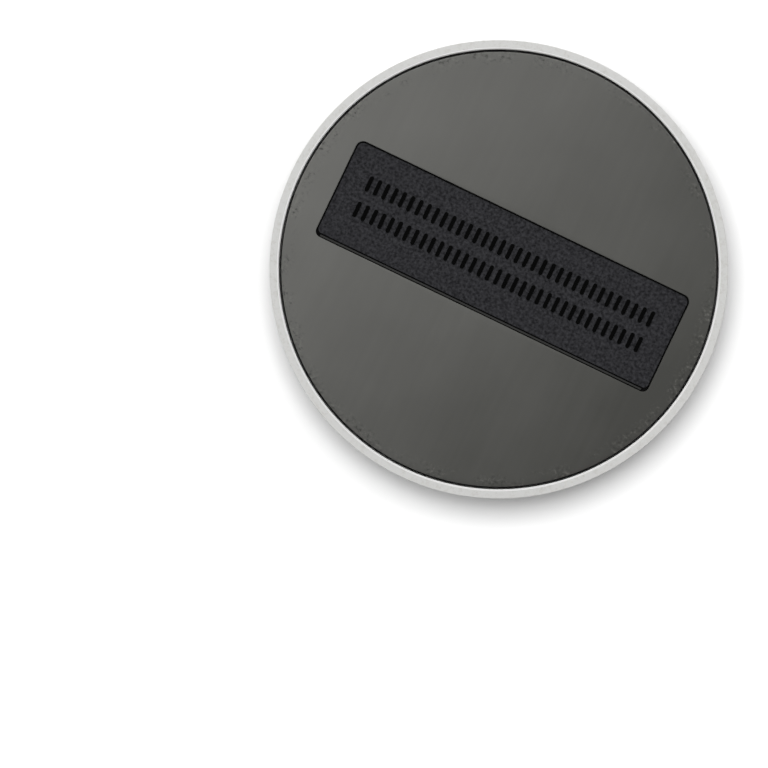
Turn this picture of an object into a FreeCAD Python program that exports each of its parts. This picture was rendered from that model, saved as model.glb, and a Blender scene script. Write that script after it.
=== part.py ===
import FreeCAD, Part
import math
import os

# Security tag detacher: a round hand-held puck. Millimetres.
# The origin is the centre of the plane the puck rests on, which is the pad's lower face.
# +Z points up through the white working face, +X runs along the label and +Y is towards its upper edge.

# Outer form of the cover
foot_dia = 95.0
face_z = 16.0
rim_lift = 0.4
wall_draft = 2.1
shoulder_drop = 2.2
shoulder_slope = 30.0
shoulder_blend = 4.8
edge_round = 0.3
foot_round = 0.1

# Cover walls
cover_top = 2.2
rim_width = 2.0
rim_lip = 0.3
ledge_width = 1.0
cavity_round = 1.2

# Pad, films and base plate
pad_gap = 0.45
pad_thick = 1.5
pad_round = 0.25
film_thick = 0.2
film_inset = 0.5
base_gap = 0.2
base_thick = 2.2
seat_ring_height = 0.8
seat_ring_width = 2.0
seat_ring_inset = 5.3

# Label plate, its raised bars and the window round it
label_end_inset = 7.2
label_width = 20.8
label_shift = 1.2
label_slide = -0.45
label_thick = 1.0
label_corner_high = 1.35
label_corner_low = 1.0
label_edge_round = 0.12
window_gap = 0.3
rib_width = 0.35
rib_gap = 0.25
rib_recess = 0.6
bar_width = 0.85
bar_length = 3.4
bar_height = 0.3
bar_round = 0.1
bar_pitch = 1.9
bar_end_inset = 4.8
bar_row_low = -2.7
bar_row_high = 3.15

# Magnet set and its carrier
yoke_thick = 2.4
foam_thick = 0.9
foam_inset = 1.0
core_magnet_dia = 25.6
spacer_wall = 4.0
magnet_gap = 0.1
magnet_round = 0.3
carrier_gap = 0.2
carrier_wall = 2.0
carrier_floor = 0.8
carrier_lip = 12.3
carrier_room = 5.2
ear_thick = 2.0
ear_reach = 4.7
ear_radius = 3.4
ear_count = 4
ear_start = 45.0

# Screws and the bosses they bite in
screw_gap = 0.05
boss_wall = 1.1
cover_screw_count = 6
cover_screw_start = 30.0
cover_screw_dia = 3.0
cover_screw_inset = 4.5
cover_head_dia = 5.8
cover_tip_margin = 2.1
carrier_screw_dia = 2.9
carrier_head_dia = 5.2
carrier_head_height = 1.7
carrier_head_round = 0.6
carrier_head_room = 0.9
carrier_tip_margin = 1.3
tip_cone = 0.8
pilot_run = 0.5
recess_length = 2.8
recess_width = 0.6
recess_depth = 0.9
gusset_thick = 1.2
gusset_clear = 1.5

# Radii that follow from the sizes above
foot_r = foot_dia / 2
edge_z = face_z - shoulder_drop
edge_r = foot_r - (edge_z - rim_lift) * math.tan(math.radians(wall_draft))
shoulder_r = edge_r - shoulder_drop / math.tan(math.radians(shoulder_slope))
rim_inner_r = foot_r - rim_width
cavity_r = rim_inner_r - ledge_width
pad_r = rim_inner_r - pad_gap
base_r = rim_inner_r - base_gap
cover_circle_r = cavity_r - cover_screw_inset
cover_boss_r = cover_screw_dia / 2 + boss_wall
carrier_r = cover_circle_r - cover_boss_r - carrier_room
carrier_circle_r = carrier_r + ear_reach
carrier_boss_r = carrier_screw_dia / 2 + boss_wall
magnet_r = carrier_r - carrier_wall - carrier_gap
core_r = core_magnet_dia / 2
spacer_r = core_r + magnet_gap + spacer_wall
ring_inner_r = spacer_r + magnet_gap

# Heights that follow, from the rest plane up
ceiling_z = face_z - cover_top
base_low = pad_thick + film_thick
base_top = base_low + base_thick
label_low = pad_thick - label_thick
carrier_low = base_top + seat_ring_height
yoke_low = carrier_low + carrier_floor
magnet_low = yoke_low + yoke_thick
magnet_top = ceiling_z - foam_thick
ear_low = base_top + carrier_head_height + carrier_head_room
ear_top = ear_low + ear_thick
cover_tip_z = ceiling_z - cover_tip_margin
carrier_tip_z = ceiling_z - carrier_tip_margin
sink_depth = (cover_head_dia - cover_screw_dia) / 2

# Label and window sizes that follow
label_length = 2 * (pad_r - label_end_inset)
window_length = label_length + 2 * window_gap
rib_room = rib_gap + rib_width + rib_gap
window_width = label_width + window_gap + rib_room
window_shift = label_shift + (window_gap - rib_room) / 2
window_corners = (label_corner_low + window_gap, label_corner_high + window_gap)
rib_shift = label_shift - label_width / 2 - rib_gap - rib_width / 2
rib_length = label_length - 2 * label_corner_low

upward = FreeCAD.Vector(0, 0, 1)
square = (0, 0)
closeness = 1e-6


def corner_round(before, corner, after, radius):
    # Where a round leaves one side, its middle, and where it meets the next side.
    to_before = (before - corner).normalize()
    to_after = (after - corner).normalize()
    half = to_before.getAngle(to_after) / 2
    reach = radius / math.tan(half)
    inward = (to_before + to_after).normalize()
    middle = corner + inward * (radius / math.sin(half) - radius)
    return corner + to_before * reach, middle, corner + to_after * reach


def closed_wire(points, radii):
    # A closed outline of straight sides, each corner rounded by its own radius.
    count = len(points)
    edges = []
    corners = []
    for i in range(count):
        if radii[i] > 0:
            corners.append(corner_round(points[i - 1], points[i], points[(i + 1) % count], radii[i]))
        else:
            corners.append((points[i], None, points[i]))
    for i in range(count):
        leave, middle, meet = corners[i]
        following = corners[(i + 1) % count][0]
        if middle is not None:
            edges.append(Part.Arc(leave, middle, meet).toShape())
        if meet.distanceToPoint(following) > closeness:
            edges.append(Part.LineSegment(meet, following).toShape())
    return Part.Wire(edges)


def turned(outline):
    # A solid of revolution about Z from (radius, height, corner round) triples.
    points = [FreeCAD.Vector(r, 0, z) for r, z, _ in outline]
    wire = closed_wire(points, [corner for _, _, corner in outline])
    return Part.Face(wire).revolve(FreeCAD.Vector(0, 0, 0), upward, 360)


def slab(length, width, corners, low, high, x=0.0, y=0.0):
    # A flat rectangle from low to high, its -Y and its +Y corners rounded by the two radii given.
    half_l = length / 2
    half_w = width / 2
    ends = [(-half_l, -half_w), (half_l, -half_w), (half_l, half_w), (-half_l, half_w)]
    points = [FreeCAD.Vector(x + dx, y + dy, low) for dx, dy in ends]
    low_corner, high_corner = corners
    face = Part.Face(closed_wire(points, [low_corner, low_corner, high_corner, high_corner]))
    return face.extrude(upward * (high - low))


def rod(radius, low, high, x=0.0, y=0.0):
    return Part.makeCylinder(radius, high - low, FreeCAD.Vector(x, y, low), upward)


def edges_at(shape, height):
    # The edges that lie flat at one height.
    return [e for e in shape.Edges
            if abs(e.BoundBox.ZMin - height) < closeness and abs(e.BoundBox.ZMax - height) < closeness]


def around(shape, count, start, radius):
    # Copies of a shape made at the origin, spread evenly on a circle and turned with it.
    copies = []
    for i in range(count):
        copy = shape.copy()
        copy.translate(FreeCAD.Vector(radius, 0, 0))
        copy.rotate(FreeCAD.Vector(0, 0, 0), upward, start + i * 360.0 / count)
        copies.append(copy)
    return copies


def boss(radius, low, reach):
    # A round boss from the cover's ceiling down, with a gusset that ties it to the wall.
    post = rod(radius, low, ceiling_z)
    gusset = Part.makeBox(reach, gusset_thick, ceiling_z - low - gusset_clear,
                          FreeCAD.Vector(0, -gusset_thick / 2, low + gusset_clear))
    return post.fuse(gusset)


def make_top_cover():
    shell = turned([
        (0, face_z, 0),
        (shoulder_r, face_z, shoulder_blend),
        (edge_r, edge_z, edge_round),
        (foot_r, rim_lift, foot_round),
        (rim_inner_r + rim_lip, rim_lift, 0),
        (rim_inner_r, rim_lift + rim_lip, 0),
        (rim_inner_r, base_top, 0),
        (cavity_r, base_top, 0),
        (cavity_r, ceiling_z, cavity_round),
        (0, ceiling_z, 0),
    ])
    wall_bite = ledge_width / 2
    cover_boss = boss(cover_boss_r, base_top, cavity_r + wall_bite - cover_circle_r)
    carrier_boss = boss(carrier_boss_r, ear_top, cavity_r + wall_bite - carrier_circle_r)
    bosses = around(cover_boss, cover_screw_count, cover_screw_start, cover_circle_r)
    bosses += around(carrier_boss, ear_count, ear_start, carrier_circle_r)
    cover_pilot = rod(cover_screw_dia / 2 + screw_gap, base_top, cover_tip_z + pilot_run)
    carrier_pilot = rod(carrier_screw_dia / 2 + screw_gap, ear_top, carrier_tip_z + pilot_run)
    pilots = around(cover_pilot, cover_screw_count, cover_screw_start, cover_circle_r)
    pilots += around(carrier_pilot, ear_count, ear_start, carrier_circle_r)
    return shell.fuse(bosses).cut(pilots)


def make_base_pad():
    disc = turned([
        (0, 0, 0),
        (pad_r, 0, pad_round),
        (pad_r, pad_thick, 0),
        (0, pad_thick, 0),
    ])
    window = slab(window_length, window_width, window_corners, 0, pad_thick,
                  x=label_slide, y=window_shift)
    return disc.cut(window)


def make_pad_adhesive():
    disc = rod(pad_r - film_inset, pad_thick, base_low)
    film_corners = [corner + film_inset for corner in window_corners]
    window = slab(window_length + 2 * film_inset, window_width + 2 * film_inset, film_corners,
                  pad_thick, base_low, x=label_slide, y=window_shift)
    return disc.cut(window)


def make_label_plate():
    corners = (label_corner_low, label_corner_high)
    plate = slab(label_length, label_width, corners, label_low, pad_thick,
                 x=label_slide, y=label_shift)
    plate = plate.makeFillet(label_edge_round, edges_at(plate, label_low))
    half_span = label_length / 2 - bar_end_inset
    bar_count = int(2 * half_span / bar_pitch) + 1
    first_x = label_slide - (bar_count - 1) * bar_pitch / 2
    bars = []
    for row in (bar_row_low, bar_row_high):
        for i in range(bar_count):
            bar = slab(bar_width, bar_length, (bar_width / 2, bar_width / 2), label_low - bar_height,
                       pad_thick, x=first_x + i * bar_pitch, y=label_shift + row)
            bars.append(bar.makeFillet(bar_round, edges_at(bar, label_low - bar_height)))
    return plate.fuse(bars)


def make_label_adhesive():
    corners = (label_corner_low - film_inset, label_corner_high - film_inset)
    return slab(label_length - 2 * film_inset, label_width - 2 * film_inset, corners,
                pad_thick, base_low, x=label_slide, y=label_shift)


def make_base_plate():
    disc = rod(base_r, base_low, base_top)
    ring_outer = carrier_r - seat_ring_inset
    ring = rod(ring_outer, base_top, carrier_low).cut(
        rod(ring_outer - seat_ring_width, base_top, carrier_low))
    rib = slab(rib_length, rib_width, square, rib_recess, base_low, x=label_slide, y=rib_shift)
    hole = rod(cover_screw_dia / 2 + screw_gap, base_low, base_top)
    sink = Part.makeCone(cover_head_dia / 2, cover_screw_dia / 2, sink_depth,
                         FreeCAD.Vector(0, 0, base_low), upward)
    holes = around(hole.fuse(sink), cover_screw_count, cover_screw_start, cover_circle_r)
    return disc.fuse([ring, rib]).cut(holes)


def make_yoke_plate():
    return turned([
        (0, yoke_low, 0),
        (magnet_r, yoke_low, magnet_round),
        (magnet_r, magnet_low, magnet_round),
        (0, magnet_low, 0),
    ])


def make_magnet_carrier():
    cup = turned([
        (carrier_r - carrier_lip, carrier_low, 0),
        (carrier_r, carrier_low, edge_round),
        (carrier_r, magnet_top, edge_round),
        (carrier_r - carrier_wall, magnet_top, edge_round),
        (carrier_r - carrier_wall, yoke_low, 0),
        (carrier_r - carrier_lip, yoke_low, 0),
    ])
    ear = rod(ear_radius, ear_low, ear_top)
    web_reach = ear_reach + carrier_wall / 2
    web = Part.makeBox(web_reach, 2 * ear_radius, ear_thick,
                       FreeCAD.Vector(-web_reach, -ear_radius, ear_low))
    hole = rod(carrier_screw_dia / 2 + screw_gap, ear_low, ear_top)
    ears = around(ear.fuse(web).cut(hole), ear_count, ear_start, carrier_circle_r)
    inside = rod(carrier_r - carrier_wall, yoke_low, magnet_top)
    return cup.fuse(ears).cut(inside)


def make_ring(inner_r, outer_r):
    return turned([
        (inner_r, magnet_low, magnet_round),
        (outer_r, magnet_low, magnet_round),
        (outer_r, magnet_top, magnet_round),
        (inner_r, magnet_top, magnet_round),
    ])


def make_core_magnet():
    return turned([
        (0, magnet_low, 0),
        (core_r, magnet_low, magnet_round),
        (core_r, magnet_top, magnet_round),
        (0, magnet_top, 0),
    ])


def make_foam_disc():
    return rod(magnet_r - foam_inset, magnet_top, ceiling_z)


def cross_recess(low):
    # The driver's cross, cut up into a head whose lower face is at this height.
    arm = slab(recess_length, recess_width, square, low, low + recess_depth)
    other = slab(recess_width, recess_length, square, low, low + recess_depth)
    return arm.fuse(other)


def make_cover_screw():
    shank_r = cover_screw_dia / 2
    blank = turned([
        (0, base_low, 0),
        (cover_head_dia / 2, base_low, 0),
        (shank_r, base_low + sink_depth, 0),
        (shank_r, cover_tip_z - tip_cone, 0),
        (shank_r - tip_cone, cover_tip_z, 0),
        (0, cover_tip_z, 0),
    ])
    return blank.cut(cross_recess(base_low))


def make_carrier_screw():
    shank_r = carrier_screw_dia / 2
    head_low = ear_low - carrier_head_height
    blank = turned([
        (0, head_low, 0),
        (carrier_head_dia / 2, head_low, carrier_head_round),
        (carrier_head_dia / 2, ear_low, 0),
        (shank_r, ear_low, 0),
        (shank_r, carrier_tip_z - tip_cone, 0),
        (shank_r - tip_cone, carrier_tip_z, 0),
        (0, carrier_tip_z, 0),
    ])
    return blank.cut(cross_recess(head_low))


def write(name, shape):
    # One clean solid per file.
    solid = shape.removeSplitter().Solids[0]
    solid.exportStep(os.path.join("parts", name + ".step"))


os.makedirs("parts", exist_ok=True)
write("top_cover", make_top_cover())
write("base_pad", make_base_pad())
write("pad_adhesive", make_pad_adhesive())
write("label_plate", make_label_plate())
write("label_adhesive", make_label_adhesive())
write("base_plate", make_base_plate())
write("yoke_plate", make_yoke_plate())
write("magnet_carrier", make_magnet_carrier())
write("ring_magnet", make_ring(ring_inner_r, magnet_r))
write("spacer_ring", make_ring(core_r + magnet_gap, spacer_r))
write("core_magnet", make_core_magnet())
write("foam_disc", make_foam_disc())
for number, screw in enumerate(
        around(make_cover_screw(), cover_screw_count, cover_screw_start, cover_circle_r), 1):
    write("cover_screw_%d" % number, screw)
for number, screw in enumerate(
        around(make_carrier_screw(), ear_count, ear_start, carrier_circle_r), 1):
    write("carrier_screw_%d" % number, screw)
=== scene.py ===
import bpy
import math
from mathutils import Matrix, Vector, noise


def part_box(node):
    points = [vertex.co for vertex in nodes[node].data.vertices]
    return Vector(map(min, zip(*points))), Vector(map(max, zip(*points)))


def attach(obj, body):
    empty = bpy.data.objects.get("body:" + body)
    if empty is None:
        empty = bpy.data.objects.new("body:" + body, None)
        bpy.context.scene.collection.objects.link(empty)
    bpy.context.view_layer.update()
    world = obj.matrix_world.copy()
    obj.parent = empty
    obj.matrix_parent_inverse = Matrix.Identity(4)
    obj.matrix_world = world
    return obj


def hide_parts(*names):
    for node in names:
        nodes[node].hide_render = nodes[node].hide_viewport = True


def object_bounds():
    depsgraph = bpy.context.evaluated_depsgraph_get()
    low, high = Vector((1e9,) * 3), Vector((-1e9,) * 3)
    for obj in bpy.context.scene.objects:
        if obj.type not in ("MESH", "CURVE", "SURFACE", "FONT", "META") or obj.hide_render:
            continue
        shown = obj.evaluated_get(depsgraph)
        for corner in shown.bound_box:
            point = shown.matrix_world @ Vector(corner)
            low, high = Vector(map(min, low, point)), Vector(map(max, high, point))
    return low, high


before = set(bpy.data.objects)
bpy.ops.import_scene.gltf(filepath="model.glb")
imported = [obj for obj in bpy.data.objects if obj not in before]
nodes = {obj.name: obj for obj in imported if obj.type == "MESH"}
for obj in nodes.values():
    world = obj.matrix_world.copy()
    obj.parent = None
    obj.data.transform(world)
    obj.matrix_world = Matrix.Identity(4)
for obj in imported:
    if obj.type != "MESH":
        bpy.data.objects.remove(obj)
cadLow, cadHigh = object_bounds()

mm = 0.001


def toLinear(hexColour):
    channels = [int(hexColour[i:i + 2], 16) / 255 for i in (1, 3, 5)]
    return [c / 12.92 if c <= 0.04045 else ((c + 0.055) / 1.055) ** 2.4 for c in channels] + [1.0]


def addNode(tree, kind, settings=None, links=None):
    # settings: a property of the node, or the value of an unlinked socket; a hex string is a colour
    node = tree.nodes.new(kind)
    for name, value in (settings or {}).items():
        if name == "stops":
            while len(node.color_ramp.elements) < len(value):
                node.color_ramp.elements.new(0.5)
            for element, (place, colour) in zip(node.color_ramp.elements, value):
                element.position = place
                element.color = toLinear(colour)
        elif isinstance(name, str) and hasattr(node, name):
            setattr(node, name, value)
        else:
            isColour = isinstance(value, str) and value.startswith("#")
            node.inputs[name].default_value = toLinear(value) if isColour else value
    for name, socket in (links or {}).items():
        tree.links.new(socket, node.inputs[name])
    return node


def startMaterial(name):
    # an empty tree, with the place on the object in metres as its starting point
    material = bpy.data.materials.new(name)
    material.use_nodes = True
    material.node_tree.nodes.clear()
    place = addNode(material.node_tree, "ShaderNodeTexCoord").outputs["Object"]
    return material, material.node_tree, place


def closeMaterial(tree, shader):
    addNode(tree, "ShaderNodeOutputMaterial", None, {"Surface": shader.outputs["BSDF"]})


def perSize(size):
    # noise scale for a feature of this many millimetres
    return 1 / (size * mm)


def fromAxis(tree, place):
    # how far a point of the surface lies from the puck's axis
    flat = addNode(tree, "ShaderNodeVectorMath", {"operation": "MULTIPLY", 1: (1, 1, 0)}, {0: place})
    distance = addNode(tree, "ShaderNodeVectorMath", {"operation": "LENGTH"}, {0: flat.outputs["Vector"]})
    return distance.outputs["Value"]


def dress(names, material):
    for name in names:
        shape = nodes[name] if isinstance(name, str) else name
        shape.data.materials.clear()
        shape.data.materials.append(material)


# the white cover, which is the whole outside seen from above
cover = {
    # sizes are in millimetres, here and below, except the lamps'
    "plain": "#D9D9D7",
    "shaded": "#D5D5D3",       # slow drift in the white, seen only side by side
    "driftSize": 34,
    "handled": "#B7B4AC",      # grey from hands and counters, along the foot
    "handledHeight": 1.8,
    "handledFrom": (0.50, 0.72),
    "handledMost": 0.5,
    "paintedHighlight": "#F2F2F1",     # painted highlight: the lip round the pad and the shoulder's crisp edge, painted clean and bright
    "underside": 1.2,          # the lip's painted highlight and the painted shade beside the pad are painted up to this height only
    "lipReach": 1.50,          # the lip begins this far in from the foot's outer edge
    "lipSoft": 0.05,
    "gapShade": "#2B2A28",         # painted shade at the bottom of the lip's round, darkening the gap beside the pad
    "gapShadeReach": 1.95,
    "gapShadeSoft": 0.03,
    "edgeDrop": 2.2,           # the crisp edge lies this far under the working face
    "edgeReach": 0.16,         # and its painted highlight, a bright line, goes this far each way
    "grainSize": 0.30,         # spark-eroded mould texture, drawn a little coarse so that it shows
    "grainHeight": 0.006,
    "scuffSize": 0.9,
    "roughness": (0.36, 0.46),
    "ior": 1.54,
}


def mouldedAbsWhite():
    # ABS injection moulded against a spark-eroded tool: white with a soft satin sheen, no sparkle, and a
    # little grey picked up where the foot rubs;
    # a painted highlight on the lip round the pad and on the shoulder's crisp edge, and painted shade on the
    # inner wall beside the pad
    material, tree, place = startMaterial("mouldedAbsWhite")
    drift = addNode(tree, "ShaderNodeTexNoise", {"Scale": perSize(cover["driftSize"]), "Detail": 2.0},
                    {"Vector": place})
    white = addNode(tree, "ShaderNodeMix", {"data_type": "RGBA", 6: cover["plain"], 7: cover["shaded"]},
                    {0: drift.outputs["Fac"]})
    axes = addNode(tree, "ShaderNodeSeparateXYZ", None, {0: place})
    low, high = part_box("top_cover")
    foot = addNode(tree, "ShaderNodeMapRange",
                   {"From Min": low.z + cover["handledHeight"] * mm, "From Max": low.z},
                   {"Value": axes.outputs["Z"]})
    scuff = addNode(tree, "ShaderNodeTexNoise",
                    {"Scale": perSize(cover["scuffSize"]), "Detail": 5.0, "Roughness": 0.7},
                    {"Vector": place})
    begins, ends = cover["handledFrom"]
    patchy = addNode(tree, "ShaderNodeMapRange",
                     {"From Min": begins, "From Max": ends, "To Max": cover["handledMost"]},
                     {"Value": scuff.outputs["Fac"]})
    worn = addNode(tree, "ShaderNodeMath", {"operation": "MULTIPLY"},
                   {0: foot.outputs["Result"], 1: patchy.outputs["Result"]})
    used = addNode(tree, "ShaderNodeMix", {"data_type": "RGBA", 7: cover["handled"]},
                   {0: worn.outputs[0], 6: white.outputs[2]})
    distance = fromAxis(tree, place)
    lipEdge = high.x - cover["lipReach"] * mm
    lip = addNode(tree, "ShaderNodeMapRange",
                  {"From Min": lipEdge, "From Max": lipEdge - cover["lipSoft"] * mm}, {"Value": distance})
    lowest = addNode(tree, "ShaderNodeMath", {"operation": "LESS_THAN", 1: low.z + cover["underside"] * mm},
                     {0: axes.outputs["Z"]})
    # painted highlight: a bright band on the lip round the pad, and a bright line on the shoulder's crisp
    # edge
    lipHighlight = addNode(tree, "ShaderNodeMath", {"operation": "MULTIPLY"},
                      {0: lip.outputs["Result"], 1: lowest.outputs[0]})
    edgeHighlight = addNode(tree, "ShaderNodeMath",
                       {"operation": "COMPARE", 1: high.z - cover["edgeDrop"] * mm,
                        2: cover["edgeReach"] * mm}, {0: axes.outputs["Z"]})
    highlightMask = addNode(tree, "ShaderNodeMath", {"operation": "MAXIMUM"},
                    {0: lipHighlight.outputs[0], 1: edgeHighlight.outputs[0]})
    colour = addNode(tree, "ShaderNodeMix", {"data_type": "RGBA", 7: cover["paintedHighlight"]},
                     {0: highlightMask.outputs[0], 6: used.outputs[2]})
    # painted shade: the cover's inner wall beside the pad is painted dark, where the gap lies in shade
    gapShadeEdge = high.x - cover["gapShadeReach"] * mm
    gapShade = addNode(tree, "ShaderNodeMapRange",
                   {"From Min": gapShadeEdge + cover["gapShadeSoft"] * mm, "From Max": gapShadeEdge}, {"Value": distance})
    lowGapShade = addNode(tree, "ShaderNodeMath", {"operation": "MULTIPLY"},
                      {0: gapShade.outputs["Result"], 1: lowest.outputs[0]})
    gapShaded = addNode(tree, "ShaderNodeMix", {"data_type": "RGBA", 7: cover["gapShade"]},
                     {0: lowGapShade.outputs[0], 6: colour.outputs[2]})
    grain = addNode(tree, "ShaderNodeTexNoise", {"Scale": perSize(cover["grainSize"]), "Detail": 3.0},
                    {"Vector": place})
    satin = addNode(tree, "ShaderNodeMapRange",
                    {"To Min": cover["roughness"][0], "To Max": cover["roughness"][1]},
                    {"Value": scuff.outputs["Fac"]})
    relief = addNode(tree, "ShaderNodeBump", {"Strength": 0.5, "Distance": cover["grainHeight"] * mm},
                     {"Height": grain.outputs["Fac"]})
    shader = addNode(tree, "ShaderNodeBsdfPrincipled", {"IOR": cover["ior"]},
                     {"Base Color": gapShaded.outputs[2], "Roughness": satin.outputs["Result"],
                      "Normal": relief.outputs["Normal"]})
    closeMaterial(tree, shader)
    return material


dress(["top_cover"], mouldedAbsWhite())
print("cover finished")

# the base plate, seen in the gap round the pad and as the rib beside the label
base = {
    "plain": "#0B0B0B",
    "proudPale": "#323231",       # the rib's edge, paler where it stands proud
    "grainSize": 0.35,
    "grainHeight": 0.008,
    "roughness": (0.42, 0.58),
    "ior": 1.54,
}


def mouldedAbsCharcoal():
    # ABS moulded in dark grey: low satin, with the one rib that reaches up beside the label paler where it
    # stands proud
    material, tree, place = startMaterial("mouldedAbsCharcoal")
    axes = addNode(tree, "ShaderNodeSeparateXYZ", None, {0: place})
    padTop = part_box("base_pad")[1].z
    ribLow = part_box("base_plate")[0].z
    proud = addNode(tree, "ShaderNodeMapRange", {"From Min": padTop, "From Max": ribLow},
                    {"Value": axes.outputs["Z"]})
    colour = addNode(tree, "ShaderNodeMix", {"data_type": "RGBA", 6: base["plain"], 7: base["proudPale"]},
                     {0: proud.outputs["Result"]})
    grain = addNode(tree, "ShaderNodeTexNoise", {"Scale": perSize(base["grainSize"]), "Detail": 3.0},
                    {"Vector": place})
    satin = addNode(tree, "ShaderNodeMapRange",
                    {"To Min": base["roughness"][0], "To Max": base["roughness"][1]},
                    {"Value": grain.outputs["Fac"]})
    relief = addNode(tree, "ShaderNodeBump", {"Strength": 0.5, "Distance": base["grainHeight"] * mm},
                     {"Height": grain.outputs["Fac"]})
    shader = addNode(tree, "ShaderNodeBsdfPrincipled", {"IOR": base["ior"]},
                     {"Base Color": colour.outputs[2], "Roughness": satin.outputs["Result"],
                      "Normal": relief.outputs["Normal"]})
    closeMaterial(tree, shader)
    return material


dress(["base_plate"], mouldedAbsCharcoal())
print("base plate finished")

# the pad, a die-cut rubber disc with a window
pad = {
    "plain": "#454542",
    "dustyAndLitSide": "#6D6D6A",        # dry bloom at random, and painted light: paler towards one side, as if lit from there
    "bloomSize": 26,
    "bloomRange": (0.22, 0.72),
    # painted light: the way the pad grows paler, as if lit from that side, and by how much
    "litSideWay": (0.944, 0.331, 0),
    "litSideSlope": 0.45,
    "streakSize": (1.6, 30.0),  # faint streaks of the calender rolls, across and along
    "streakDepth": 0.07,
    "scuffed": "#7F7E79",      # pale specks near the edge
    "scuffedFrom": (0.54, 0.66),
    "scuffedMost": 0.5,
    "dark": "#2A2A28",         # and dark ones
    "darkFrom": (0.46, 0.34),
    "darkMost": 0.75,
    "speckSize": 0.75,
    "patchSize": 5.0,          # the specks come in patches this large
    "patchEdge": (0.42, 0.58),
    "speckBand": (3.0, 0.8),   # how far in from the edge they begin, and where they are thickest
    "tooth": 0.22,             # fine matt tooth of the rubber
    "toothHeight": 0.010,
    "roughness": (0.46, 0.60),
    "ior": 1.50,
    "columns": 480,
    "rings": 22,
    "edgeRound": (0.25, 4),    # radius, and steps round it
    "windowRound": (0.14, 3),
    "sharpAngle": 40,
    "cutRipple": 0.03,         # a knife's slight waviness on the cut edges
    "rippleSize": 3,
    "windowGap": 0.3,
    "windowLow": 0.85,         # wider gap on the side with the rib
    "cornerHigh": 1.65,        # window corners on the +Y side, and on the side with the rib
    "cornerLow": 1.3,
}


def windowPoint(turn, halfLong, halfWide, high, low):
    # the point at this share of the way round a rectangle with two corner rounds, from the +X end's middle
    quarter = math.pi / 2
    legs = [
        (halfWide - high, Vector((halfLong, 0)), Vector((0, 1)), 0),
        (quarter * high, Vector((halfLong - high, halfWide - high)), 0, high),
        (2 * (halfLong - high), Vector((halfLong - high, halfWide)), Vector((-1, 0)), 0),
        (quarter * high, Vector((high - halfLong, halfWide - high)), quarter, high),
        (2 * halfWide - high - low, Vector((-halfLong, halfWide - high)), Vector((0, -1)), 0),
        (quarter * low, Vector((low - halfLong, low - halfWide)), 2 * quarter, low),
        (2 * (halfLong - low), Vector((low - halfLong, -halfWide)), Vector((1, 0)), 0),
        (quarter * low, Vector((halfLong - low, low - halfWide)), 3 * quarter, low),
        (halfWide - low, Vector((halfLong, low - halfWide)), Vector((0, 1)), 0),
    ]
    run = turn * sum(leg[0] for leg in legs)
    for length, start, way, corner in legs:
        if run <= length:
            break
        run -= length
    if not corner:
        return start + way * run
    angle = way + run / corner
    return start + Vector((math.cos(angle), math.sin(angle))) * corner


def quarterRound(radius, steps):
    # (inset, rise) pairs in metres, from the flat face round to the upright side
    angles = [math.pi / 2 * i / steps for i in range(steps + 1)]
    return [(radius * mm * (1 - math.sin(angle)), radius * mm * (1 - math.cos(angle))) for angle in angles]


def makePad():
    low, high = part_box("base_pad")
    plateLow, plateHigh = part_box("label_plate")
    outer = (high.x - low.x) / 2
    gap, wide = pad["windowGap"] * mm, pad["windowLow"] * mm
    halfLong = (plateHigh.x - plateLow.x) / 2 + gap
    halfWide = (plateHigh.y - plateLow.y + gap + wide) / 2
    middle = Vector(((plateHigh.x + plateLow.x) / 2, (plateHigh.y + gap + plateLow.y - wide) / 2))
    thick = high.z - low.z
    outerEdge = quarterRound(*pad["edgeRound"])
    windowEdge = quarterRound(*pad["windowRound"])

    # one closed section: share across from window to rim, inset from that end, height
    section = [(0, inset, rise) for inset, rise in reversed(windowEdge)]
    section += [(i / pad["rings"], 0, 0) for i in range(1, pad["rings"])]
    section += [(1, -inset, rise) for inset, rise in outerEdge]
    section += [(1, 0, thick)]
    section += [(i / pad["rings"], 0, thick) for i in range(pad["rings"] - 1, 0, -1)]
    section += [(0, 0, thick)]

    points = []
    for column in range(pad["columns"]):
        turn = column / pad["columns"]
        inner = windowPoint(turn, halfLong, halfWide, pad["cornerHigh"] * mm, pad["cornerLow"] * mm) + middle
        heading = math.atan2(inner.y, inner.x)
        rim = Vector((math.cos(heading), math.sin(heading))) * outer
        across = (rim - inner).normalized()
        ripple = noise.noise(Vector((inner.x, inner.y, 0)) / (pad["rippleSize"] * mm)) * pad["cutRipple"] * mm
        for share, inset, rise in section:
            spot = inner.lerp(rim, share) + across * (inset + (ripple if share == 0 and rise < thick else 0))
            points.append((spot.x, spot.y, low.z + rise))
    size = len(section)
    faces = []
    for column in range(pad["columns"]):
        following = (column + 1) % pad["columns"]
        for i in range(size):
            j = (i + 1) % size
            faces.append((column * size + i, following * size + i, following * size + j, column * size + j))
    mesh = bpy.data.meshes.new("soft_base_pad")
    mesh.from_pydata(points, [], faces)
    mesh.update()
    mesh.shade_smooth()
    mesh.set_sharp_from_angle(angle=math.radians(pad["sharpAngle"]))
    piece = bpy.data.objects.new("soft_base_pad", mesh)
    bpy.context.scene.collection.objects.link(piece)
    return piece


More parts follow.
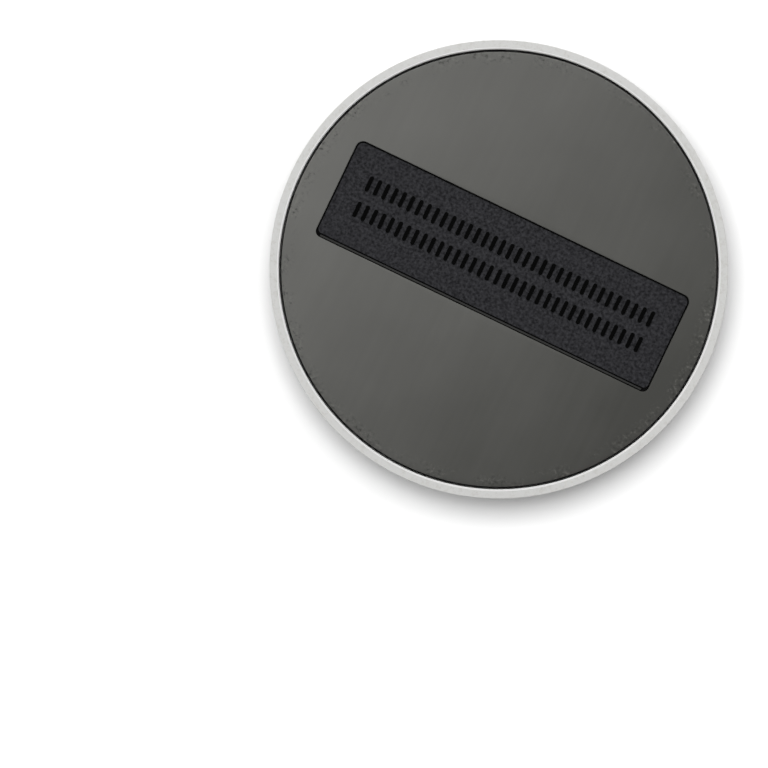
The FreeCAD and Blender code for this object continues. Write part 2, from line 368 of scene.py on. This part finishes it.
def dieCutRubber():
    # dense rubber sheet, calendered and die cut: dark warm grey, matt, with dry bloom, painted light that
    # makes it paler towards one side, the faint streaks of the rolls, and patches of fine specks at the edge,
    # where the puck is slid off a counter
    material, tree, place = startMaterial("dieCutRubber")
    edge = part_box("base_pad")[1].x
    bloom = addNode(tree, "ShaderNodeTexNoise", {"Scale": perSize(pad["bloomSize"]), "Detail": 4.0},
                    {"Vector": place})
    # painted light: the whole pad paler towards one side and darker towards the other
    along = addNode(tree, "ShaderNodeVectorMath", {"operation": "DOT_PRODUCT", 1: pad["litSideWay"]},
                    {0: place})
    litSide = addNode(tree, "ShaderNodeMapRange",
                    {"From Min": -edge, "From Max": edge, "To Min": -pad["litSideSlope"],
                     "To Max": pad["litSideSlope"]}, {"Value": along.outputs["Value"]})
    across, lengthwise = pad["streakSize"]
    drawn = addNode(tree, "ShaderNodeMapping", {"Scale": (perSize(across), perSize(lengthwise), 1.0)},
                    {"Vector": place})
    streaks = addNode(tree, "ShaderNodeTexNoise", {"Scale": 1.0, "Detail": 3.0},
                      {"Vector": drawn.outputs["Vector"]})
    faint = addNode(tree, "ShaderNodeMapRange", {"To Min": -pad["streakDepth"], "To Max": pad["streakDepth"]},
                    {"Value": streaks.outputs["Fac"]})
    calm = addNode(tree, "ShaderNodeMapRange",
                   {"To Min": pad["bloomRange"][0], "To Max": pad["bloomRange"][1]},
                   {"Value": bloom.outputs["Fac"]})
    uneven = addNode(tree, "ShaderNodeMath", {"operation": "ADD"},
                     {0: calm.outputs["Result"], 1: faint.outputs["Result"]})
    bloomAndLitSide = addNode(tree, "ShaderNodeMath", {"operation": "ADD", "use_clamp": True},
                        {0: uneven.outputs[0], 1: litSide.outputs["Result"]})
    ground = addNode(tree, "ShaderNodeMix", {"data_type": "RGBA", 6: pad["plain"], 7: pad["dustyAndLitSide"]},
                     {0: bloomAndLitSide.outputs[0]})
    begins, full = pad["speckBand"]
    band = addNode(tree, "ShaderNodeMapRange",
                   {"From Min": edge - begins * mm, "From Max": edge - full * mm},
                   {"Value": fromAxis(tree, place)})
    patches = addNode(tree, "ShaderNodeTexNoise", {"Scale": perSize(pad["patchSize"]), "Detail": 1.0},
                      {"Vector": place})
    inPatch = addNode(tree, "ShaderNodeMapRange",
                      {"From Min": pad["patchEdge"][0], "From Max": pad["patchEdge"][1]},
                      {"Value": patches.outputs["Fac"]})
    where = addNode(tree, "ShaderNodeMath", {"operation": "MULTIPLY"},
                    {0: band.outputs["Result"], 1: inPatch.outputs["Result"]})
    specks = addNode(tree, "ShaderNodeTexNoise",
                     {"Scale": perSize(pad["speckSize"]), "Detail": 3.0, "Roughness": 0.65},
                     {"Vector": place})
    pale = addNode(tree, "ShaderNodeMapRange",
                   {"From Min": pad["scuffedFrom"][0], "From Max": pad["scuffedFrom"][1],
                    "To Max": pad["scuffedMost"]}, {"Value": specks.outputs["Fac"]})
    dark = addNode(tree, "ShaderNodeMapRange",
                   {"From Min": pad["darkFrom"][0], "From Max": pad["darkFrom"][1],
                    "To Max": pad["darkMost"]}, {"Value": specks.outputs["Fac"]})
    paleSpeck = addNode(tree, "ShaderNodeMath", {"operation": "MULTIPLY"},
                        {0: where.outputs[0], 1: pale.outputs["Result"]})
    darkSpeck = addNode(tree, "ShaderNodeMath", {"operation": "MULTIPLY"},
                        {0: where.outputs[0], 1: dark.outputs["Result"]})
    lighter = addNode(tree, "ShaderNodeMix", {"data_type": "RGBA", 7: pad["scuffed"]},
                      {0: paleSpeck.outputs[0], 6: ground.outputs[2]})
    colour = addNode(tree, "ShaderNodeMix", {"data_type": "RGBA", 7: pad["dark"]},
                     {0: darkSpeck.outputs[0], 6: lighter.outputs[2]})
    tooth = addNode(tree, "ShaderNodeTexNoise", {"Scale": perSize(pad["tooth"]), "Detail": 2.0},
                    {"Vector": place})
    relief = addNode(tree, "ShaderNodeBump", {"Strength": 0.5, "Distance": pad["toothHeight"] * mm},
                     {"Height": tooth.outputs["Fac"]})
    matt = addNode(tree, "ShaderNodeMapRange",
                   {"To Min": pad["roughness"][0], "To Max": pad["roughness"][1]},
                   {"Value": bloom.outputs["Fac"]})
    shader = addNode(tree, "ShaderNodeBsdfPrincipled", {"IOR": pad["ior"]},
                     {"Base Color": colour.outputs[2], "Roughness": matt.outputs["Result"],
                      "Normal": relief.outputs["Normal"]})
    closeMaterial(tree, shader)
    return material


padPiece = makePad()
dress([padPiece], dieCutRubber())
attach(padPiece, "root")
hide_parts("base_pad")
print("pad made")

# the label plate, a grained field with smooth raised bars
label = {
    "field": "#1F1F21",
    "fieldPale": "#3E3E41",
    "fieldRange": (0.35, 0.70),
    # painted shade: the smooth bars painted blacker than the field, for tops that reflect away
    "bar": "#070707",
    "barDepth": (0.26, 0.22),  # the bars' tops are nearer than this to the plate's foremost plane
    "grainSize": 0.60,         # tooling grain, the pebbles a fingertip can feel
    "grainHeight": 0.05,
    "grainStrength": (0.8, 0.05),  # on the field and on the bars
    "roughness": (0.55, 0.30),     # likewise
    "ior": 1.52,
    "specular": 0.05,
}


def grainedPvcPlate():
    # rigid PVC pressed on a grained platen: the field is a fine dark pebble, the raised bars are smooth,
    # and painted blacker as painted shade, for tops that reflect in one direction only
    material, tree, place = startMaterial("grainedPvcPlate")
    axes = addNode(tree, "ShaderNodeSeparateXYZ", None, {0: place})
    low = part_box("label_plate")[0].z
    begins, ends = label["barDepth"]
    barTop = addNode(tree, "ShaderNodeMapRange",
                     {"From Min": low + begins * mm, "From Max": low + ends * mm},
                     {"Value": axes.outputs["Z"]})
    pebble = addNode(tree, "ShaderNodeTexNoise",
                     {"Scale": perSize(label["grainSize"]), "Detail": 4.0, "Roughness": 0.6},
                     {"Vector": place})
    stops = list(zip(label["fieldRange"], (label["field"], label["fieldPale"])))
    field = addNode(tree, "ShaderNodeValToRGB", {"stops": stops}, {"Fac": pebble.outputs["Fac"]})
    # the bars' tops take the painted shade
    colour = addNode(tree, "ShaderNodeMix", {"data_type": "RGBA", 7: label["bar"]},
                     {0: barTop.outputs["Result"], 6: field.outputs["Color"]})
    finish = addNode(tree, "ShaderNodeMapRange",
                     {"To Min": label["roughness"][0], "To Max": label["roughness"][1]},
                     {"Value": barTop.outputs["Result"]})
    strength = addNode(tree, "ShaderNodeMapRange",
                       {"To Min": label["grainStrength"][0], "To Max": label["grainStrength"][1]},
                       {"Value": barTop.outputs["Result"]})
    relief = addNode(tree, "ShaderNodeBump", {"Distance": label["grainHeight"] * mm},
                     {"Height": pebble.outputs["Fac"], "Strength": strength.outputs["Result"]})
    shader = addNode(tree, "ShaderNodeBsdfPrincipled",
                     {"IOR": label["ior"], "Specular IOR Level": label["specular"]},
                     {"Base Color": colour.outputs[2], "Roughness": finish.outputs["Result"],
                      "Normal": relief.outputs["Normal"]})
    closeMaterial(tree, shader)
    return material


dress(["label_plate"], grainedPvcPlate())
print("label finished")

# the two adhesive films
film = {"plain": "#E2DED2", "cloudy": "#D3CDBD", "cloudSize": 6, "roughness": 0.35, "ior": 1.47}


def acrylicFilm():
    # double-sided acrylic tape: milky and slightly uneven where it has wetted out
    material, tree, place = startMaterial("acrylicFilm")
    cloud = addNode(tree, "ShaderNodeTexNoise", {"Scale": perSize(film["cloudSize"]), "Detail": 4.0},
                    {"Vector": place})
    colour = addNode(tree, "ShaderNodeMix", {"data_type": "RGBA", 6: film["plain"], 7: film["cloudy"]},
                     {0: cloud.outputs["Fac"]})
    shader = addNode(tree, "ShaderNodeBsdfPrincipled", {"IOR": film["ior"], "Roughness": film["roughness"]},
                     {"Base Color": colour.outputs[2]})
    closeMaterial(tree, shader)
    return material


dress(["pad_adhesive", "label_adhesive"], acrylicFilm())
print("films finished")

# plated metals, which are the yoke, the magnets and the screws
metals = {
    "zincPlatedSteel": {"plain": "#BDBFC0", "cloudy": "#9EA1A4", "cloudSize": 3.0, "lineSize": 0.15,
                        "roughness": (0.28, 0.46)},
    "nickelPlatedMagnet": {"plain": "#C9C4BA", "cloudy": "#B4AEA3", "cloudSize": 5.0, "lineSize": 0.4,
                           "roughness": (0.14, 0.24)},
}


def platedMetal(name):
    # electroplated: zinc is a cool grey with a faint cloudy bloom, nickel is warmer, brighter and smoother
    look = metals[name]
    material, tree, place = startMaterial(name)
    cloud = addNode(tree, "ShaderNodeTexNoise", {"Scale": perSize(look["cloudSize"]), "Detail": 4.0},
                    {"Vector": place})
    colour = addNode(tree, "ShaderNodeMix", {"data_type": "RGBA", 6: look["plain"], 7: look["cloudy"]},
                     {0: cloud.outputs["Fac"]})
    lines = addNode(tree, "ShaderNodeTexNoise", {"Scale": perSize(look["lineSize"]), "Detail": 2.0},
                    {"Vector": place})
    finish = addNode(tree, "ShaderNodeMapRange",
                     {"To Min": look["roughness"][0], "To Max": look["roughness"][1]},
                     {"Value": lines.outputs["Fac"]})
    shader = addNode(tree, "ShaderNodeBsdfPrincipled", {"Metallic": 1.0},
                     {"Base Color": colour.outputs[2], "Roughness": finish.outputs["Result"]})
    closeMaterial(tree, shader)
    return material


screwNames = [name for name in nodes if "_screw_" in name]
dress(["yoke_plate"] + screwNames, platedMetal("zincPlatedSteel"))
dress(["ring_magnet", "core_magnet"], platedMetal("nickelPlatedMagnet"))
print("metals finished")

# the magnet carrier and the spacer between the magnets
inner = {
    "glassFilledNylon": {"plain": "#1D1D1E", "fleck": "#2C2C2D", "fleckSize": 0.5, "roughness": 0.55,
                         "height": 0.02, "ior": 1.53},
    "turnedAcetal": {"plain": "#DAD6C8", "fleck": "#CFCABA", "fleckSize": 0.3, "roughness": 0.38,
                     "height": 0.004, "ior": 1.48},
}


def innerPlastic(name):
    # nylon with glass fibre moulds to a dry dark skin with pale flecks; acetal cuts to a waxy ivory
    look = inner[name]
    material, tree, place = startMaterial(name)
    fleck = addNode(tree, "ShaderNodeTexNoise", {"Scale": perSize(look["fleckSize"]), "Detail": 5.0},
                    {"Vector": place})
    colour = addNode(tree, "ShaderNodeMix", {"data_type": "RGBA", 6: look["plain"], 7: look["fleck"]},
                     {0: fleck.outputs["Fac"]})
    relief = addNode(tree, "ShaderNodeBump", {"Strength": 0.5, "Distance": look["height"] * mm},
                     {"Height": fleck.outputs["Fac"]})
    shader = addNode(tree, "ShaderNodeBsdfPrincipled", {"IOR": look["ior"], "Roughness": look["roughness"]},
                     {"Base Color": colour.outputs[2], "Normal": relief.outputs["Normal"]})
    closeMaterial(tree, shader)
    return material


dress(["magnet_carrier"], innerPlastic("glassFilledNylon"))
dress(["spacer_ring"], innerPlastic("turnedAcetal"))
print("carrier and spacer finished")

# the foam disc, squeezed between the magnets and the cover
foam = {
    "plain": "#3C3C3D",
    "cell": "#262627",
    "cellSize": 0.6,
    "cellHeight": 0.06,
    "roughness": 0.85,
    "ior": 1.45,
    "columns": 180,
    "rings": 30,
    "sag": 0.10,               # how far the side bulges between the two faces it is squeezed by
    "sideSteps": 6,
    "sharpAngle": 50,
}


def makeFoam():
    low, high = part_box("foam_disc")
    radius = (high.x - low.x) / 2
    thick = high.z - low.z
    steps = foam["sideSteps"]
    section = [(radius * i / foam["rings"], 0) for i in range(1, foam["rings"])]
    for i in range(steps + 1):
        bulge = math.sin(math.pi * i / steps) * foam["sag"] * mm
        section.append((radius - foam["sag"] * mm + bulge, thick * i / steps))
    section += [(radius * i / foam["rings"], thick) for i in range(foam["rings"] - 1, 0, -1)]
    points = []
    for column in range(foam["columns"]):
        angle = 2 * math.pi * column / foam["columns"]
        points += [(r * math.cos(angle), r * math.sin(angle), low.z + z) for r, z in section]
    size = len(section)
    faces = []
    for column in range(foam["columns"]):
        following = (column + 1) % foam["columns"]
        for i in range(size - 1):
            faces.append((column * size + i, following * size + i, following * size + i + 1,
                          column * size + i + 1))
    bottom, top = len(points), len(points) + 1
    points += [(0, 0, low.z), (0, 0, high.z)]
    for column in range(foam["columns"]):
        following = (column + 1) % foam["columns"]
        faces.append((bottom, following * size, column * size))
        faces.append((top, column * size + size - 1, following * size + size - 1))
    mesh = bpy.data.meshes.new("squeezed_foam")
    mesh.from_pydata(points, [], faces)
    mesh.update()
    mesh.shade_smooth()
    mesh.set_sharp_from_angle(angle=math.radians(foam["sharpAngle"]))
    piece = bpy.data.objects.new("squeezed_foam", mesh)
    bpy.context.scene.collection.objects.link(piece)
    return piece


def closedCellFoam():
    # polyethylene foam: dull, dark, with small cut cells
    material, tree, place = startMaterial("closedCellFoam")
    cells = addNode(tree, "ShaderNodeTexVoronoi", {"Scale": perSize(foam["cellSize"])}, {"Vector": place})
    colour = addNode(tree, "ShaderNodeMix", {"data_type": "RGBA", 6: foam["plain"], 7: foam["cell"]},
                     {0: cells.outputs["Distance"]})
    relief = addNode(tree, "ShaderNodeBump", {"Strength": 0.7, "Distance": foam["cellHeight"] * mm},
                     {"Height": cells.outputs["Distance"]})
    shader = addNode(tree, "ShaderNodeBsdfPrincipled", {"IOR": foam["ior"], "Roughness": foam["roughness"]},
                     {"Base Color": colour.outputs[2], "Normal": relief.outputs["Normal"]})
    closeMaterial(tree, shader)
    return material


foamPiece = makeFoam()
dress([foamPiece], closedCellFoam())
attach(foamPiece, "root")
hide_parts("foam_disc")
print("foam made")

# the boards, the lights and the camera
room = {
    "boardSide": 3000,
    "floorGap": 0.02,          # the floor lies this far under the pad
    "backHeight": 7.0,         # and the board seen from below this far above it
    "paint": "#FCFCFC",
    "paintDrift": "#FAFAFA",
    "driftSize": 90,
    "floorGlow": 0.10,         # lit a little from behind, so that the floor stays paler than the cover
    "backGlow": 0.05,
    "farGlow": 1.1,            # far out, where the lamps don't reach, the boards are as white as the room
    "farFrom": 160,
    "farTo": 600,
    "floorBright": 1.0,
    "backBright": 1.2,         # the back board returns more than it gets, so that it reads as white
    "floorShade": (1.0, 5.0),  # how strongly a board is shaded round the puck, and how far out
    "backShade": (0.42, 8.0),
    "shadeSamples": 16,
    "sky": "#FFFFFF",
    "skyLight": 0.14,          # even light from above and below
    "horizonLight": 1.0,       # and more from the pale walls of the room, which reaches the puck's side
    "horizonReach": 0.45,
}


def paintedBoard(name, glowing, bright, shade):
    # pale matt board; from its other side it lets the view through, so the puck can be seen from below
    material, tree, place = startMaterial(name)
    mottle = addNode(tree, "ShaderNodeTexNoise", {"Scale": perSize(room["driftSize"]), "Detail": 2.0},
                     {"Vector": place})
    colour = addNode(tree, "ShaderNodeMix",
                     {"data_type": "RGBA", 6: room["paint"], 7: room["paintDrift"]},
                     {0: mottle.outputs["Fac"]})
    strong, reach = shade
    corner = addNode(tree, "ShaderNodeAmbientOcclusion",
                     {"samples": room["shadeSamples"], "Distance": reach * mm}, {"Color": colour.outputs[2]})
    tone = addNode(tree, "ShaderNodeMix", {"data_type": "RGBA", 0: strong},
                   {6: colour.outputs[2], 7: corner.outputs["Color"]})
    gain = addNode(tree, "ShaderNodeVectorMath", {"operation": "SCALE", "Scale": bright},
                   {0: tone.outputs[2]})
    paint = addNode(tree, "ShaderNodeBsdfDiffuse", None, {"Color": gain.outputs["Vector"]})
    distance = addNode(tree, "ShaderNodeVectorMath", {"operation": "LENGTH"}, {0: place})
    outwards = addNode(tree, "ShaderNodeMapRange",
                       {"From Min": room["farFrom"] * mm, "From Max": room["farTo"] * mm,
                        "To Min": glowing, "To Max": room["farGlow"]},
                       {"Value": distance.outputs["Value"]})
    glow = addNode(tree, "ShaderNodeEmission", None,
                   {"Color": tone.outputs[2], "Strength": outwards.outputs["Result"]})
    board = addNode(tree, "ShaderNodeAddShader", None,
                    {0: paint.outputs["BSDF"], 1: glow.outputs["Emission"]})
    clear = addNode(tree, "ShaderNodeBsdfTransparent")
    side = addNode(tree, "ShaderNodeNewGeometry")
    oneWay = addNode(tree, "ShaderNodeMixShader", None,
                     {0: side.outputs["Backfacing"], 1: board.outputs["Shader"], 2: clear.outputs["BSDF"]})
    addNode(tree, "ShaderNodeOutputMaterial", None, {"Surface": oneWay.outputs["Shader"]})
    material.cycles.emission_sampling = "NONE"  # the glow is only seen, and lights nothing
    return material


def makeBoard(name, height, corners, material):
    # a board that only the camera sees, and only from the side that its corners wind towards
    half = room["boardSide"] * mm / 2
    mesh = bpy.data.meshes.new(name)
    square = [(-half, -half, height), (half, -half, height), (half, half, height), (-half, half, height)]
    mesh.from_pydata(square, [], [corners])
    board = bpy.data.objects.new(name, mesh)
    bpy.context.scene.collection.objects.link(board)
    mesh.materials.append(material)
    board.visible_diffuse = False
    board.visible_glossy = False
    board.visible_transmission = False
    board.visible_shadow = False


def makeFloor():
    # the puck rests on the floor, and seen from below it lies against a second board
    makeBoard("floor", cadLow.z - room["floorGap"] * mm, (0, 1, 2, 3),
              paintedBoard("paintedFloor", room["floorGlow"], room["floorBright"], room["floorShade"]))
    makeBoard("backBoard", cadLow.z + room["backHeight"] * mm, (3, 2, 1, 0),
              paintedBoard("paintedBack", room["backGlow"], room["backBright"], room["backShade"]))


def makeSky():
    # white behind the object, and a softer even light from all round
    world = bpy.data.worlds.new("paleRoom")
    bpy.context.scene.world = world
    world.use_nodes = True
    tree = world.node_tree
    tree.nodes.clear()
    heading = addNode(tree, "ShaderNodeTexCoord")
    rise = addNode(tree, "ShaderNodeSeparateXYZ", None, {0: heading.outputs["Generated"]})
    height = addNode(tree, "ShaderNodeMath", {"operation": "ABSOLUTE"}, {0: rise.outputs["Z"]})
    strength = addNode(tree, "ShaderNodeMapRange",
                       {"From Max": room["horizonReach"], "To Min": room["horizonLight"],
                        "To Max": room["skyLight"]}, {"Value": height.outputs[0]})
    seen = addNode(tree, "ShaderNodeBackground", {"Color": room["sky"]})
    light = addNode(tree, "ShaderNodeBackground", {"Color": room["sky"]},
                    {"Strength": strength.outputs["Result"]})
    rays = addNode(tree, "ShaderNodeLightPath")
    both = addNode(tree, "ShaderNodeMixShader", None,
                   {0: rays.outputs["Is Camera Ray"], 1: light.outputs["Background"],
                    2: seen.outputs["Background"]})
    addNode(tree, "ShaderNodeOutputWorld", None, {"Surface": both.outputs["Shader"]})


lamps = {
    # name: (place in metres, side of the square in metres, watts, whether gloss shows it)
    "underKey": ((0.495, 0.451, -1.34), 1.45, 22.0, False),
    "underFill": ((-0.30, 0.78, -0.60), 0.50, 1.3, True),
    "topKey": ((-0.20, -0.30, 0.90), 0.70, 7.1, True),
    "topFill": ((0.60, 0.30, 0.80), 0.80, 3.6, True),
}


def makeLamps():
    for name, (place, side, power, inGloss) in lamps.items():
        data = bpy.data.lights.new(name, "AREA")
        data.size = side
        data.energy = power
        lamp = bpy.data.objects.new(name, data)
        lamp.location = place
        lamp.rotation_mode = "QUATERNION"
        lamp.rotation_quaternion = (-Vector(place)).to_track_quat("-Z", "Y")
        lamp.visible_camera = False
        lamp.visible_glossy = inGloss
        bpy.context.scene.collection.objects.link(lamp)


shot = {
    "labelTilt": 25.66,        # degrees, how far the label runs down to the right
    "across": 23.78,           # the puck's centre lies this far right of the camera's axis
    "above": 23.75,            # and this far above it
    "width": 159.0,            # what the view spans at the rim
    "distance": 1000,
}


def makeCamera():
    # straight up at the underside, from below the table
    tilt = math.radians(shot["labelTilt"])
    up = Vector((math.sin(tilt), math.cos(tilt), 0))
    forward = Vector((0, 0, 1))
    right = forward.cross(up)
    data = bpy.data.cameras.new("camera")
    data.lens = data.sensor_width * shot["distance"] / shot["width"]
    camera = bpy.data.objects.new("camera", data)
    place = -(right * shot["across"] + up * shot["above"] + forward * shot["distance"]) * mm
    turn = Matrix((right, up, -forward)).transposed()
    camera.matrix_world = Matrix.Translation(place) @ turn.to_4x4()
    bpy.context.scene.collection.objects.link(camera)
    bpy.context.scene.camera = camera


makeFloor()
makeSky()
makeLamps()
makeCamera()
bpy.context.scene.view_settings.view_transform = "Standard"
print("stage set")
